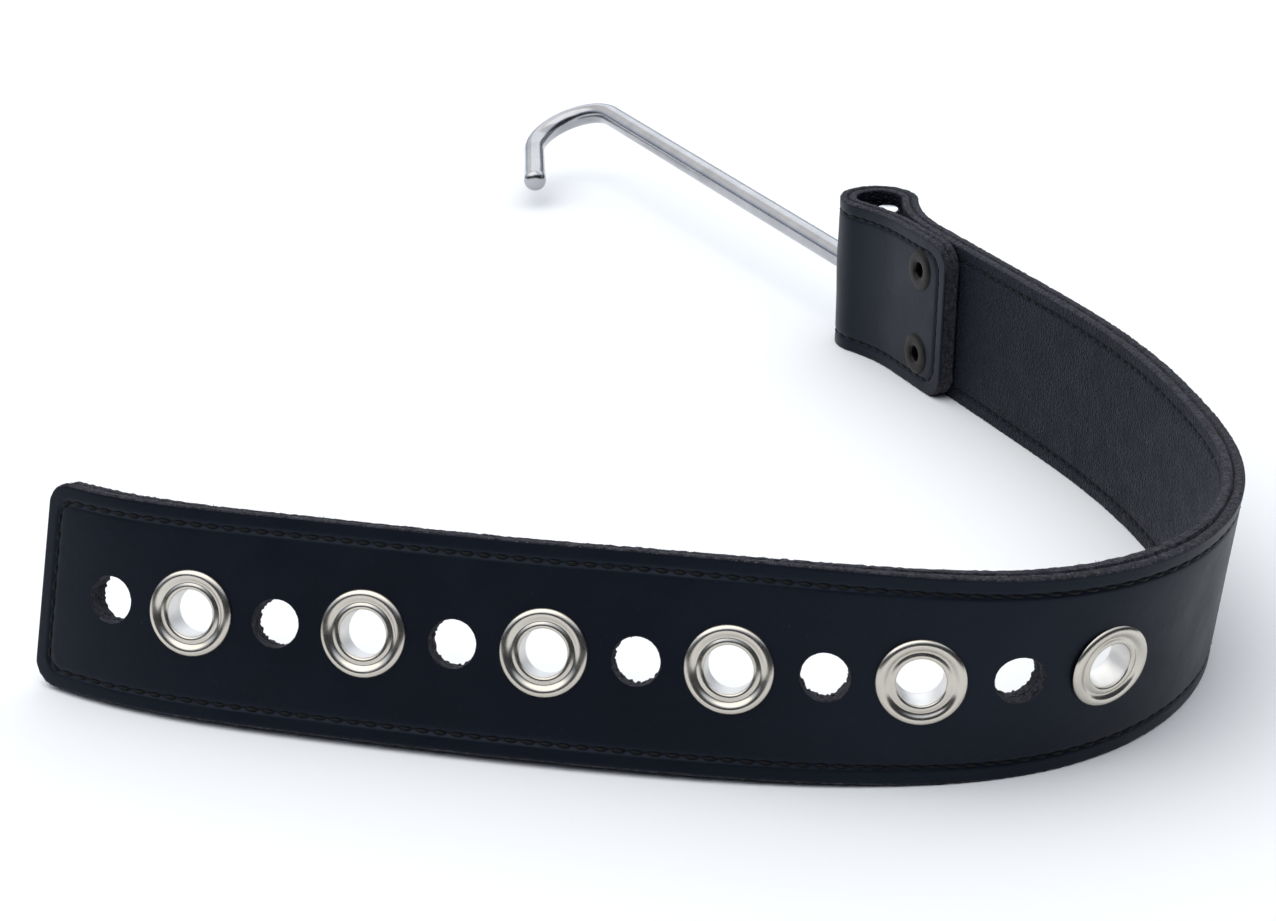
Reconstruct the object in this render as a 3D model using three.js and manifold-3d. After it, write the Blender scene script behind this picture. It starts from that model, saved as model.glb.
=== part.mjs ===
// A two-ply leather strap, punched and eyeleted along one arm, that stands on its long edge in a J.
// Its far end is folded back into a riveted loop, which holds the cross pin of a steel rod hook.
// Millimetres, +Z up. The strap's lower edge rests on z = 0.
import * as THREE from "three";
import { mergeVertices } from "three/addons/utils/BufferGeometryUtils.js";
import Module from "manifold-3d";

const wasm = await Module();
wasm.setup();

// ---- driving dimensions ----

const gap = 0.3; // clearance between pieces that touch

// strap section
const strapWidth = 38;
const plyThickness = 1.85;
const strapThickness = 2 * plyThickness + gap;
const strapMiddle = strapWidth / 2;
const freeEndCorner = 5; // corner radius at the free end
const flapEndCorner = 6.5; // corner radius at the folded end

// the strap's course along the ground, seen from above
const startPoint = [-109.4, 394.8];
const startHeading = -35.5; // degrees from +X
const armTurns = [
  // [distance along the strap, turn to the left in degrees per millimetre there]
  [0, 0.78],
  [55, 0.045],
  [112, 0.11],
  [158, 0.43],
  [188, 1.0],
  [249, 0.8],
  [280, 0.35],
  [318, 0.27],
  [352, 0],
];
const armLength = 391; // from the free end to the neck of the loop

// how far the upper edge leans to the inside of the bend: [distance along the strap, degrees]
const leans = [
  [0, 13],
  [58, 19],
  [108, 18.5],
  [213, -6.8],
  [283, 0],
];

// riveted loop
const loopRadius = 7.6; // of the strap's middle layer round the head of the loop
const neckRadius = 45;
const loopShift = 0.5; // from the arm's middle layer to the middle of the head
const flapOffset = strapThickness + gap; // from the arm's middle layer to the flap's
const flapLength = 22.6; // straight length of the flap

// stitching
const stitchInset = 3.2; // from the strap's edge to the stitch line
const threadHalfDiagonal = 0.4;
const grooveHalfWidth = 1; // a V groove, as deep as it is half wide
const threadDepth = 0.3; // of the thread's middle below the face

// row of holes: plain hole, eyelet, plain hole, eyelet ...
const pairCount = 6;
const firstHole = 16.5; // from the free end
const holePitch = 16.26; // from a plain hole to the eyelet after it
const plainHoleRadius = 4.2;
const eyeletBore = 4.2;
const eyeletWall = 0.3;
const eyeletRim = 7.85; // outer radius
const washerRim = 7.5;
const washerThickness = 0.6;
const seatRadius = 8.1; // flat seat that the washer presses into the lining
const seatDepth = 0.25;

// hollow rivets
const rivetFromFlapEnd = 11.5;
const rivetHeights = [8.5, 29.5];
const rivetBore = 1.7;
const rivetWall = 0.5;
const rivetHead = 5;

// hook
const rodRadius = 3;
const pinBehindHead = 5; // from the middle of the loop's head back to the cross pin
const pinTowardsFlap = 0.35;
const pinBottom = 0.9;
const pinTop = 36.7;
const shankHeight = 17.6; // of the shank's axis at the pin
const shankHeading = 2.5; // degrees to the left of the loop's own direction
const shankRise = 1.6;
const shankLength = 155; // from the pin's axis to the start of the bend
const hookRadius = 14.4;
const hookBend = 162; // degrees
const hookRoll = 55; // degrees from straight down, towards the inside of the strap's bend
const tipLength = 13;
const slotHalfWidth = 7; // of the slot in the loop that the shank swings in
const slotHalfHeight = 3.9;
const slotInside = -7; // the cut's reach, out from the middle layer at the head of the loop
const slotOutside = 4.5;

// fineness of the facets
const sagitta = 0.06; // largest distance from a facet to the true curve
const longestFacet = 11;
const roundSides = 16;
const rodSides = 12;
const rivetSides = 14;

const degrees = THREE.MathUtils.degToRad;

// ---- the strap's course ----

// Angle of a neck arc that leads from a straight offset line round to the head of the loop.
function neckAngle(offset) {
  return Math.acos((offset + neckRadius) / (neckRadius + loopRadius));
}
const armNeck = neckAngle(loopShift);
const flapNeck = neckAngle(flapOffset - loopShift);
const headAngle = Math.PI + armNeck + flapNeck;

// Stretches of the strap: each has a length and a turn rate (radians per millimetre) at either end.
function makeStretches() {
  const stretches = armTurns.slice(1).map(([end, rate], i) => {
    const [start, startRate] = armTurns[i];
    return { length: end - start, from: degrees(startRate), to: degrees(rate) };
  });
  const straight = armLength - armTurns.at(-1)[0];
  const arc = (radius, angle, side) => ({
    length: radius * angle,
    from: side / radius,
    to: side / radius,
  });
  stretches.push({ length: straight, from: 0, to: 0 });
  stretches.push(arc(neckRadius, armNeck, -1));
  stretches.push(arc(loopRadius, headAngle, 1));
  stretches.push(arc(neckRadius, flapNeck, -1));
  stretches.push({ length: flapLength, from: 0, to: 0 });
  return stretches;
}
const stretches = makeStretches();
const strapLength = stretches.reduce((sum, stretch) => sum + stretch.length, 0);
// where the head of the loop faces straight on from the arm
const headApex = armLength + neckRadius * armNeck + loopRadius * (armNeck + Math.PI / 2);

// The heading and place of the strap's middle layer, walked in short steps from the free end.
function walkCourse() {
  const course = [];
  let [x, y] = startPoint;
  let heading = degrees(startHeading);
  let along = 0;
  course.push({ along, x, y, heading });
  for (const { length, from, to } of stretches) {
    const steps = Math.ceil(length / 0.25);
    const step = length / steps;
    for (let i = 0; i < steps; i++) {
      const rate = from + ((to - from) * (i + 0.5)) / steps;
      const middle = heading + (rate * step) / 2;
      x += Math.cos(middle) * step;
      y += Math.sin(middle) * step;
      heading += rate * step;
      along += step;
      course.push({ along, x, y, heading });
    }
  }
  return course;
}
const course = walkCourse();

function courseAt(along) {
  let low = 0;
  let high = course.length - 1;
  while (high - low > 1) {
    const middle = (low + high) >> 1;
    if (course[middle].along <= along) low = middle;
    else high = middle;
  }
  const a = course[low];
  const b = course[high];
  const t = (along - a.along) / (b.along - a.along);
  const mix = (key) => a[key] + (b[key] - a[key]) * t;
  return { x: mix("x"), y: mix("y"), heading: mix("heading") };
}

function leanAt(along) {
  const next = leans.findIndex(([place]) => place > along);
  if (next < 0) return degrees(leans.at(-1)[1]);
  if (next === 0) return degrees(leans[0][1]);
  const [start, startLean] = leans[next - 1];
  const [end, endLean] = leans[next];
  const t = THREE.MathUtils.smoothstep(along, start, end);
  return degrees(startLean + (endLean - startLean) * t);
}

// The strap's own directions at a distance along it: forwards, up the strap, and out of its outer face.
function strapFrame(along) {
  const { x, y, heading } = courseAt(along);
  const lean = leanAt(along);
  const inner = new THREE.Vector3(-Math.sin(heading), Math.cos(heading), 0);
  const up = new THREE.Vector3(0, 0, Math.cos(lean)).addScaledVector(inner, Math.sin(lean));
  const out = new THREE.Vector3(0, 0, Math.sin(lean)).addScaledVector(inner, -Math.cos(lean));
  const forward = new THREE.Vector3(Math.cos(heading), Math.sin(heading), 0);
  const lift = (strapThickness / 2) * Math.abs(Math.sin(lean)); // keeps the lower corner on the ground
  return { foot: new THREE.Vector3(x, y, lift), forward, up, out };
}

// A point of the flat strap (distance along it, height, distance outwards) on the bent strap.
function onStrap(along, height, outwards) {
  const { foot, up, out } = strapFrame(along);
  return foot.addScaledVector(up, height).addScaledVector(out, outwards);
}

// How far the long edges step in where the corners of the two ends are rounded.
function edgeInset(along) {
  const inset = (fromEnd, radius) => {
    const left = radius - Math.min(fromEnd, radius);
    return radius - Math.sqrt(radius * radius - left * left);
  };
  return Math.max(inset(along, freeEndCorner), inset(strapLength - along, flapEndCorner));
}

// Distances along the strap where a facet starts, from one distance to another.
function stations(start, end) {
  const places = [];
  const cornerSteps = 5;
  for (let i = 0; i < cornerSteps; i++) {
    const share = 1 - Math.cos((Math.PI / 2) * (i / cornerSteps));
    places.push(freeEndCorner * share, strapLength - flapEndCorner * share);
  }
  let along = 0;
  for (const { length, from, to } of stretches) {
    const sharpest = Math.max(Math.abs(from), Math.abs(to), 1e-4);
    const chord = 2 * Math.sqrt((2 * sagitta) / sharpest);
    const steps = Math.ceil(length / Math.min(chord, longestFacet));
    for (let i = 0; i < steps; i++) places.push(along + (length * i) / steps);
    along += length;
  }
  const inside = places.filter((place) => place > start + 0.4 && place < end - 0.4);
  inside.sort((a, b) => a - b);
  const spaced = inside.filter((place, i) => i === 0 || place - inside[i - 1] > 0.25);
  return [start, ...spaced, end];
}

// ---- solids ----

// A closed surface through rings of points: capped at both ends, or joined end to start.
function skinRings(rings, joined) {
  const sides = rings[0].length;
  const positions = rings.flat().flatMap((point) => point.toArray());
  const triangles = [];
  const spans = joined ? rings.length : rings.length - 1;
  for (let i = 0; i < spans; i++) {
    const here = i * sides;
    const next = ((i + 1) % rings.length) * sides;
    for (let k = 0; k < sides; k++) {
      const l = (k + 1) % sides;
      triangles.push(here + k, here + l, next + l, here + k, next + l, next + k);
    }
  }
  if (!joined) {
    const last = (rings.length - 1) * sides;
    for (let k = 1; k < sides - 1; k++) {
      triangles.push(0, k + 1, k, last, last + k, last + k + 1);
    }
  }
  const geometry = new THREE.BufferGeometry();
  geometry.setAttribute("position", new THREE.Float32BufferAttribute(positions, 3));
  geometry.setIndex(triangles);
  return geometry;
}

function toSolid(geometry) {
  const bare = geometry.clone();
  bare.deleteAttribute("normal");
  bare.deleteAttribute("uv");
  const merged = mergeVertices(bare, 1e-4);
  const vertProperties = new Float32Array(merged.attributes.position.array);
  const triVerts = new Uint32Array(merged.index.array);
  return new wasm.Manifold(new wasm.Mesh({ numProp: 3, vertProperties, triVerts }));
}

function toGeometry(solid) {
  const mesh = solid.getMesh();
  const geometry = new THREE.BufferGeometry();
  geometry.setAttribute("position", new THREE.Float32BufferAttribute(mesh.vertProperties, 3));
  geometry.setIndex([...mesh.triVerts]);
  geometry.computeVertexNormals();
  return geometry;
}

// Turns a shape whose own axis is +Y so that +Y points squarely out of the strap at a place on it.
function placeAcross(object, along, height) {
  const { up } = strapFrame(along);
  const place = onStrap(along, height, 0);
  const forward = onStrap(along + 0.5, height, 0).sub(place).normalize();
  const out = new THREE.Vector3().crossVectors(forward, up).normalize();
  const turn = new THREE.Matrix4().makeBasis(up, out, new THREE.Vector3().crossVectors(up, out));
  object.quaternion.setFromRotationMatrix(turn);
  object.position.copy(place);
  object.updateMatrixWorld(true);
}

// A punch through the strap: a cylinder from one distance outwards to another.
function punch(along, height, radius, from, to, sides) {
  const geometry = new THREE.CylinderGeometry(radius, radius, to - from, sides);
  geometry.translate(0, (from + to) / 2, 0);
  const holder = new THREE.Object3D();
  placeAcross(holder, along, height);
  geometry.applyMatrix4(holder.matrixWorld);
  return toSolid(geometry);
}

function plyBlank(inner, outer) {
  const rings = stations(0, strapLength).map((along) => {
    const low = edgeInset(along);
    const high = strapWidth - low;
    return [
      onStrap(along, low, inner),
      onStrap(along, high, inner),
      onStrap(along, high, outer),
      onStrap(along, low, outer),
    ];
  });
  return toSolid(skinRings(rings, false));
}

// The stitch line on the flat strap: a rounded rectangle of [along, height, direction of travel].
function stitchLine() {
  const points = [];
  const bottom = stitchInset;
  const top = strapWidth - stitchInset;
  const left = stitchInset;
  const right = strapLength - stitchInset;
  const corner = (x, y, radius, from) => {
    const steps = 3;
    for (let i = 0; i <= steps; i++) {
      const angle = from + ((Math.PI / 2) * i) / steps;
      const along = x + radius * Math.cos(angle);
      points.push([along, y + radius * Math.sin(angle), angle + Math.PI / 2]);
    }
  };
  const freeCorner = freeEndCorner - 2;
  const flapCorner = flapEndCorner - 2;
  const run = stations(left + freeCorner, right - flapCorner).slice(1, -1);
  corner(left + freeCorner, bottom + freeCorner, freeCorner, Math.PI);
  run.forEach((along) => points.push([along, bottom, 0]));
  corner(right - flapCorner, bottom + flapCorner, flapCorner, -Math.PI / 2);
  corner(right - flapCorner, top - flapCorner, flapCorner, 0);
  run.toReversed().forEach((along) => points.push([along, top, Math.PI]));
  corner(left + freeCorner, top - freeCorner, freeCorner, Math.PI / 2);
  return points;
}

// A closed bar along the stitch line; its section is given as [sideways, outwards] corners.
function barOnStitchLine(section) {
  const rings = stitchLine().map(([along, height, travel]) =>
    section.map(([sideways, outwards]) => {
      const a = along + Math.sin(travel) * sideways;
      const h = height - Math.cos(travel) * sideways;
      return onStrap(a, h, outwards);
    }),
  );
  return skinRings(rings, true);
}

// V groove under the stitch line; side is +1 on the outer face and -1 on the lining's.
function groove(side) {
  const face = (strapThickness / 2) * side;
  const proud = gap / 2; // less than the gap between the flap and the arm behind it
  const wide = grooveHalfWidth + proud;
  const corners = [
    [-wide, face + proud * side],
    [0, face - grooveHalfWidth * side],
    [wide, face + proud * side],
  ];
  return toSolid(barOnStitchLine(side > 0 ? corners.toReversed() : corners));
}

function threadGeometry(side) {
  const middle = side * (strapThickness / 2 - threadDepth);
  const r = threadHalfDiagonal;
  return barOnStitchLine([
    [-r, middle],
    [0, middle + r],
    [r, middle],
    [0, middle - r],
  ]);
}

// ---- places of the holes ----

const plainHoles = [];
const eyelets = [];
for (let i = 0; i < pairCount; i++) {
  plainHoles.push(firstHole + holePitch * 2 * i);
  eyelets.push(firstHole + holePitch * (2 * i + 1));
}
const rivetOnFlap = strapLength - rivetFromFlapEnd;

// The slot in the head of the loop, as a rounded bar along the shank's direction.
function shankSlot() {
  const shape = new THREE.Shape();
  const flat = slotHalfWidth - slotHalfHeight;
  shape.absarc(flat, 0, slotHalfHeight, -Math.PI / 2, Math.PI / 2, false);
  shape.absarc(-flat, 0, slotHalfHeight, Math.PI / 2, (3 * Math.PI) / 2, false);
  const geometry = new THREE.ExtrudeGeometry(shape, {
    depth: slotOutside - slotInside,
    bevelEnabled: false,
    curveSegments: 8,
  });
  const { forward, up, out } = strapFrame(headApex);
  const basis = new THREE.Matrix4().makeBasis(forward, up, out);
  basis.setPosition(onStrap(headApex, shankHeight, slotInside));
  return toSolid(geometry.applyMatrix4(basis));
}

// Across an eyelet, the bottom of the seat that its washer lies in.
const seat = seatDepth - strapThickness / 2;

function ply(side) {
  const inner = side > 0 ? gap / 2 : -strapThickness / 2;
  const outer = side > 0 ? strapThickness / 2 : -gap / 2;
  const reach = strapThickness;
  let solid = plyBlank(inner, outer).subtract(groove(side));
  for (const along of plainHoles) {
    solid = solid.subtract(punch(along, strapMiddle, plainHoleRadius, -reach, reach, roundSides));
  }
  for (const along of eyelets) {
    const radius = eyeletBore + eyeletWall + gap;
    solid = solid.subtract(punch(along, strapMiddle, radius, -reach, reach, roundSides));
    if (side < 0) {
      solid = solid.subtract(punch(along, strapMiddle, seatRadius, seat - 1.5, seat, roundSides));
    }
  }
  for (const height of rivetHeights) {
    const radius = rivetBore + rivetWall + gap;
    const through = -flapOffset - reach; // on past the arm behind the flap
    solid = solid.subtract(punch(rivetOnFlap, height, radius, through, reach, rivetSides));
  }
  return toGeometry(solid.subtract(shankSlot()));
}

// ---- turned pieces, as closed profiles of [radius, distance outwards] ----

function turned(profile, sides) {
  const points = profile.map(([radius, outwards]) => new THREE.Vector2(radius, outwards));
  points.push(points[0].clone());
  return toGeometry(toSolid(new THREE.LatheGeometry(points, sides)));
}

// The eyelet: a rolled rim on the outer face, and a barrel curled over the washer behind.
function eyeletGeometry() {
  const face = strapThickness / 2 + gap;
  const back = seat - 2 * gap - washerThickness;
  const barrel = eyeletBore + eyeletWall;
  return turned(
    [
      [eyeletBore, back - 0.3],
      [eyeletBore + 1.1, back - 0.3],
      [eyeletBore + 1.1, back],
      [barrel, back],
      [barrel, face],
      [eyeletRim, face],
      [eyeletRim, face + 0.5],
      [eyeletRim - 0.7, face + 1.1],
      [eyeletRim - 1.5, face + 1.1],
      [eyeletRim - 2.3, face + 0.6],
      [eyeletBore + 0.3, face + 0.8],
      [eyeletBore, face + 0.4],
    ],
    roundSides,
  );
}

function washerGeometry() {
  const face = seat - gap;
  const bore = eyeletBore + eyeletWall + gap;
  return turned(
    [
      [bore, face - washerThickness],
      [washerRim, face - washerThickness],
      [washerRim, face],
      [bore, face],
    ],
    roundSides,
  );
}

// Across a rivet, 0 is the flap's middle layer and the arm's middle layer is at -flapOffset.
const armOuterFace = -flapOffset - strapThickness / 2;

function rivetGeometry() {
  const face = strapThickness / 2 + gap;
  const back = armOuterFace - 2 * gap - 0.6;
  const barrel = rivetBore + rivetWall;
  return turned(
    [
      [rivetBore, back - 0.4],
      [barrel + 0.9, back - 0.4],
      [barrel + 0.9, back],
      [barrel, back],
      [barrel, face],
      [rivetHead, face],
      [rivetHead, face + 0.3],
      [rivetHead - 1, face + 0.9],
      [rivetBore, face + 0.9],
    ],
    rivetSides,
  );
}

function rivetCapGeometry() {
  const face = armOuterFace - gap;
  const bore = rivetBore + rivetWall + gap;
  return turned(
    [
      [bore, face - 0.6],
      [rivetHead - 0.8, face - 0.6],
      [rivetHead, face - 0.2],
      [rivetHead, face],
      [bore, face],
    ],
    rivetSides,
  );
}

// ---- hook ----

const head = strapFrame(headApex);
const headCentre = onStrap(headApex, 0, -loopRadius);
const pinAxis = headCentre
  .addScaledVector(head.out, -pinBehindHead)
  .addScaledVector(head.forward, pinTowardsFlap);

function crossPinGeometry() {
  const length = pinTop - pinBottom;
  const round = 0.6; // edge rounding at both ends
  const flat = rodRadius - round;
  const profile = [
    [0, 0],
    [flat, 0],
    [rodRadius, round],
    [rodRadius, length - round],
    [flat, length],
    [0, length],
  ];
  const points = profile.map(([radius, height]) => new THREE.Vector2(radius, height));
  const pin = new THREE.LatheGeometry(points, roundSides);
  return toGeometry(toSolid(pin.rotateX(Math.PI / 2)));
}

// The rod's axis, from the pin out along the shank and round the bend, in the strap's place.
function rodPath() {
  const out = head.out.clone().applyAxisAngle(new THREE.Vector3(0, 0, 1), degrees(shankHeading));
  const rise = degrees(shankRise);
  const along = out.clone().multiplyScalar(Math.cos(rise)).setZ(Math.sin(rise));
  const left = new THREE.Vector3(-out.y, out.x, 0);
  const down = new THREE.Vector3().crossVectors(left, along).negate();
  if (down.z > 0) down.negate();
  const roll = degrees(hookRoll);
  const inwards = down.multiplyScalar(Math.cos(roll)).addScaledVector(left, Math.sin(roll));
  const start = pinAxis.clone().setZ(shankHeight);
  const path = new THREE.CurvePath();
  const bendStart = start.clone().addScaledVector(along, shankLength);
  path.add(new THREE.LineCurve3(start, bendStart));
  const onBend = (angle) =>
    bendStart
      .clone()
      .addScaledVector(along, hookRadius * Math.sin(angle))
      .addScaledVector(inwards, hookRadius * (1 - Math.cos(angle)));
  const bend = degrees(hookBend);
  const steps = 18;
  for (let i = 0; i < steps; i++) {
    path.add(new THREE.LineCurve3(onBend((bend * i) / steps), onBend((bend * (i + 1)) / steps)));
  }
  const tipDirection = along
    .clone()
    .multiplyScalar(Math.cos(bend))
    .addScaledVector(inwards, Math.sin(bend));
  const bendEnd = onBend(bend);
  path.add(new THREE.LineCurve3(bendEnd, bendEnd.clone().addScaledVector(tipDirection, tipLength)));
  return path;
}

// The rod as rings round its path, cut clear of the cross pin.
function rodGeometry() {
  const points = rodPath().curves.map((line) => line.v1);
  points.push(rodPath().curves.at(-1).v2);
  const rings = points.map((point, i) => {
    const before = points[Math.max(i - 1, 0)];
    const after = points[Math.min(i + 1, points.length - 1)];
    const ahead = after.clone().sub(before).normalize();
    return { point, ahead };
  });
  const across = new THREE.Vector3().crossVectors(rings[0].ahead, new THREE.Vector3(0, 0, 1));
  const skin = rings.map(({ point, ahead }) => {
    across.addScaledVector(ahead, -across.dot(ahead)).normalize();
    const third = new THREE.Vector3().crossVectors(ahead, across);
    const ring = [];
    for (let k = 0; k < rodSides; k++) {
      const angle = (2 * Math.PI * k) / rodSides;
      const spoke = across.clone().multiplyScalar(Math.cos(angle)).addScaledVector(third, Math.sin(angle));
      ring.push(point.clone().addScaledVector(spoke, rodRadius));
    }
    return ring;
  });
  const room = new THREE.CylinderGeometry(rodRadius + gap, rodRadius + gap, strapWidth, roundSides);
  room.rotateX(Math.PI / 2).translate(pinAxis.x, pinAxis.y, strapMiddle);
  return toGeometry(toSolid(skinRings(skin, false)).subtract(toSolid(room)));
}

// ---- assembly ----

const group = new THREE.Group();

function addMesh(name, geometry, material) {
  const mesh = new THREE.Mesh(geometry, material);
  mesh.name = name;
  group.add(mesh);
  return mesh;
}

const outerLeather = { color: 0x17181d, roughness: 0.42, metalness: 0 };
const liningLeather = { color: 0x2c2e37, roughness: 0.6, metalness: 0 };
const blackThread = { color: 0x0c0c0f, roughness: 0.7, metalness: 0 };
const nickel = { color: 0xd9d3c6, roughness: 0.18, metalness: 1 };
const blackMetal = { color: 0x2a2723, roughness: 0.45, metalness: 0.8 };
const brightSteel = { color: 0xc9ccd2, roughness: 0.15, metalness: 1 };
const coat = (look) => new THREE.MeshStandardMaterial(look);

addMesh("outer_leather", ply(1), coat(outerLeather));
addMesh("lining_leather", ply(-1), coat(liningLeather));
addMesh("needle_thread", threadGeometry(1), coat(blackThread));
addMesh("bobbin_thread", threadGeometry(-1), coat(blackThread));
eyelets.forEach((along, i) => {
  const eyelet = addMesh(`eyelet_${i + 1}`, eyeletGeometry(), coat(nickel));
  const washer = addMesh(`eyelet_washer_${i + 1}`, washerGeometry(), coat(nickel));
  placeAcross(eyelet, along, strapMiddle);
  placeAcross(washer, along, strapMiddle);
});
["lower", "upper"].forEach((place, i) => {
  const rivet = addMesh(`rivet_${place}`, rivetGeometry(), coat(blackMetal));
  const cap = addMesh(`rivet_cap_${place}`, rivetCapGeometry(), coat(blackMetal));
  placeAcross(rivet, rivetOnFlap, rivetHeights[i]);
  placeAcross(cap, rivetOnFlap, rivetHeights[i]);
});
const crossPin = addMesh("cross_pin", crossPinGeometry(), coat(brightSteel));
crossPin.position.set(pinAxis.x, pinAxis.y, pinBottom);
addMesh("hook_rod", rodGeometry(), coat(brightSteel));

// the origin is the middle of the object's footprint, on the ground
const bounds = new THREE.Box3().setFromObject(group);
const middle = bounds.getCenter(new THREE.Vector3());
group.position.set(-middle.x, -middle.y, 0);

export default group;
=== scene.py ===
"""A black two-ply leather strap with punched holes and eyelets, standing in a J, and its steel rod hook."""

import bisect
import math
import random

import bmesh
import bpy
from mathutils import Matrix, Vector, noise


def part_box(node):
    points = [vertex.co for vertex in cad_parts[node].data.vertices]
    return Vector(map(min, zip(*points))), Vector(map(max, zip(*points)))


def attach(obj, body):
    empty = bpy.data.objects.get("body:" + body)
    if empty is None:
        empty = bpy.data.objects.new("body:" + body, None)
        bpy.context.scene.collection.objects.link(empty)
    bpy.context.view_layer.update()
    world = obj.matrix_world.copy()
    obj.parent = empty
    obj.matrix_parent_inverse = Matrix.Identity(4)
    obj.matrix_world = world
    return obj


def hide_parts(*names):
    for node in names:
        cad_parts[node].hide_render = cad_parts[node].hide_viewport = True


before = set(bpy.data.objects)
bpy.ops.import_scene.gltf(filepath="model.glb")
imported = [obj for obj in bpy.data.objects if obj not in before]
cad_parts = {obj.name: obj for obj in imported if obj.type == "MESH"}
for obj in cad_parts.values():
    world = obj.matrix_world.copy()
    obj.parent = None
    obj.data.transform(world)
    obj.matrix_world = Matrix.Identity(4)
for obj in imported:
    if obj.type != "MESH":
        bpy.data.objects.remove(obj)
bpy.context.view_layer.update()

MM = 0.001

# ---- driving dimensions, in millimetres, as the CAD has them ----

STRAP_WIDTH = 38.0
STRAP_THICKNESS = 4.0
PLY_GAP = 0.08  # between the two plies
FREE_END_CORNER = 5.0
FLAP_END_CORNER = 6.5

START_POINT = (-110.128, -144.626)
START_HEADING = -35.5  # degrees from +X
ARM_TURNS = [  # distance along the strap, turn to the left in degrees per millimetre there
    (0, 0.78), (55, 0.045), (112, 0.11), (158, 0.43), (188, 1.0), (249, 0.8), (280, 0.35), (318, 0.27),
    (352, 0),
]
ARM_LENGTH = 391.0
LEANS = [(0, 13), (58, 19), (108, 18.5), (213, -6.8), (283, 0)]  # distance along the strap, degrees

LOOP_RADIUS = 7.6
NECK_RADIUS = 45.0
LOOP_SHIFT = 0.5
FLAP_OFFSET = 4.3
FLAP_LENGTH = 22.6

STITCH_INSET = 3.2
STITCH_PITCH = 3.15
THREAD_RADIUS = 0.34

PAIRS = 6
FIRST_HOLE = 16.5
HOLE_PITCH = 16.26
PLAIN_HOLE_RADIUS = 4.2
EYELET_HOLE_RADIUS = 4.55  # in the leather, round an eyelet's barrel

RIVET_FROM_FLAP_END = 11.5
RIVET_HEIGHTS = {"lower": 8.5, "upper": 29.5}
RIVET_HOLE_RADIUS = 2.4

ROD_RADIUS = 3.0
SHANK_HEIGHT = 17.6
SHANK_HEADING = 2.5  # degrees to the left of the loop's own direction
SHANK_RISE = 1.2  # degrees
SHANK_LENGTH = 156.46
HOOK_RADIUS = 13.0
HOOK_BEND = 155.0  # degrees
HOOK_ROLL = 68.0  # degrees from straight down
TIP_LENGTH = 21.8

# ---- finer shapes than the CAD's, in millimetres ----

FACE = STRAP_THICKNESS / 2  # from the middle of the strap out to either face
END_ROUND = 0.45  # rounding of the faces at the two ends
GROOVE_DEPTH = 0.42
GROOVE_WIDTH = 0.42
HOLLOW_DEPTH = 0.05  # of the shallow hollow either side of the stitch groove
HOLLOW_WIDTH = 1.3
EDGE_RAGGED = 0.26  # how far noise moves a cut edge up or down
EDGE_UNEVEN = 0.07  # and in or out
CUT_REACH = 4.0  # how far a cutter reaches out from the middle of the strap
SLOT_RADIUS = 3.9
SLOT_REACH = 8.3  # from the slot's middle to its end, at the middle layer
SLOT_TAPER = 0.95  # how much shorter the slot's half is for each millimetre outwards
BULGE_DEPTH = 0.9
BULGE_HEIGHT = 21.5
PIN_DOME = 0.8
ROD_DOME = 2.2
ROD_IN_PIN = 0.4
TIP_SWELL = 0.25
FIBRE_COUNT = 1500  # on each ply
FIBRE_RADIUS = 0.05
FIBRE_ROOT = 0.15

# ---- the strap's course ----


def neck_angle(offset):
    return math.acos((offset + NECK_RADIUS) / (NECK_RADIUS + LOOP_RADIUS))


ARM_NECK = neck_angle(LOOP_SHIFT)
FLAP_NECK = neck_angle(FLAP_OFFSET - LOOP_SHIFT)


def make_stretches():
    """Each stretch's length and its turn rates at start and end, in radians per millimetre."""
    made = []
    for (start, start_rate), (end, end_rate) in zip(ARM_TURNS, ARM_TURNS[1:]):
        made.append((end - start, math.radians(start_rate), math.radians(end_rate)))
    made.append((ARM_LENGTH - ARM_TURNS[-1][0], 0.0, 0.0))
    for radius, angle, side in (
        (NECK_RADIUS, ARM_NECK, -1),
        (LOOP_RADIUS, math.pi + ARM_NECK + FLAP_NECK, 1),
        (NECK_RADIUS, FLAP_NECK, -1),
    ):
        made.append((radius * angle, side / radius, side / radius))
    made.append((FLAP_LENGTH, 0.0, 0.0))
    return made


STRETCHES = make_stretches()
STRAP_LENGTH = sum(stretch[0] for stretch in STRETCHES)
HEAD_APEX = ARM_LENGTH + NECK_RADIUS * ARM_NECK + LOOP_RADIUS * (ARM_NECK + math.pi / 2)


def walk_course():
    """(distance, x, y, heading) of the strap's middle layer in short steps from the free end."""
    x, y = START_POINT
    heading = math.radians(START_HEADING)
    along = 0.0
    steps = [(along, x, y, heading)]
    for length, start_rate, end_rate in STRETCHES:
        count = math.ceil(length / 0.25)
        step = length / count
        for i in range(count):
            rate = start_rate + (end_rate - start_rate) * (i + 0.5) / count
            middle = heading + rate * step / 2
            x += math.cos(middle) * step
            y += math.sin(middle) * step
            heading += rate * step
            along += step
            steps.append((along, x, y, heading))
    return steps


COURSE = walk_course()
COURSE_KEYS = [step[0] for step in COURSE]


def course_at(along):
    i = min(max(bisect.bisect_right(COURSE_KEYS, along) - 1, 0), len(COURSE) - 2)
    a, b = COURSE[i], COURSE[i + 1]
    t = (along - a[0]) / (b[0] - a[0])
    return [a[k] + (b[k] - a[k]) * t for k in (1, 2, 3)]


def lean_at(along):
    if along <= LEANS[0][0]:
        return math.radians(LEANS[0][1])
    for (start, a), (end, b) in zip(LEANS, LEANS[1:]):
        if along < end:
            t = (along - start) / (end - start)
            return math.radians(a + (b - a) * t * t * (3 - 2 * t))
    return math.radians(LEANS[-1][1])


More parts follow.
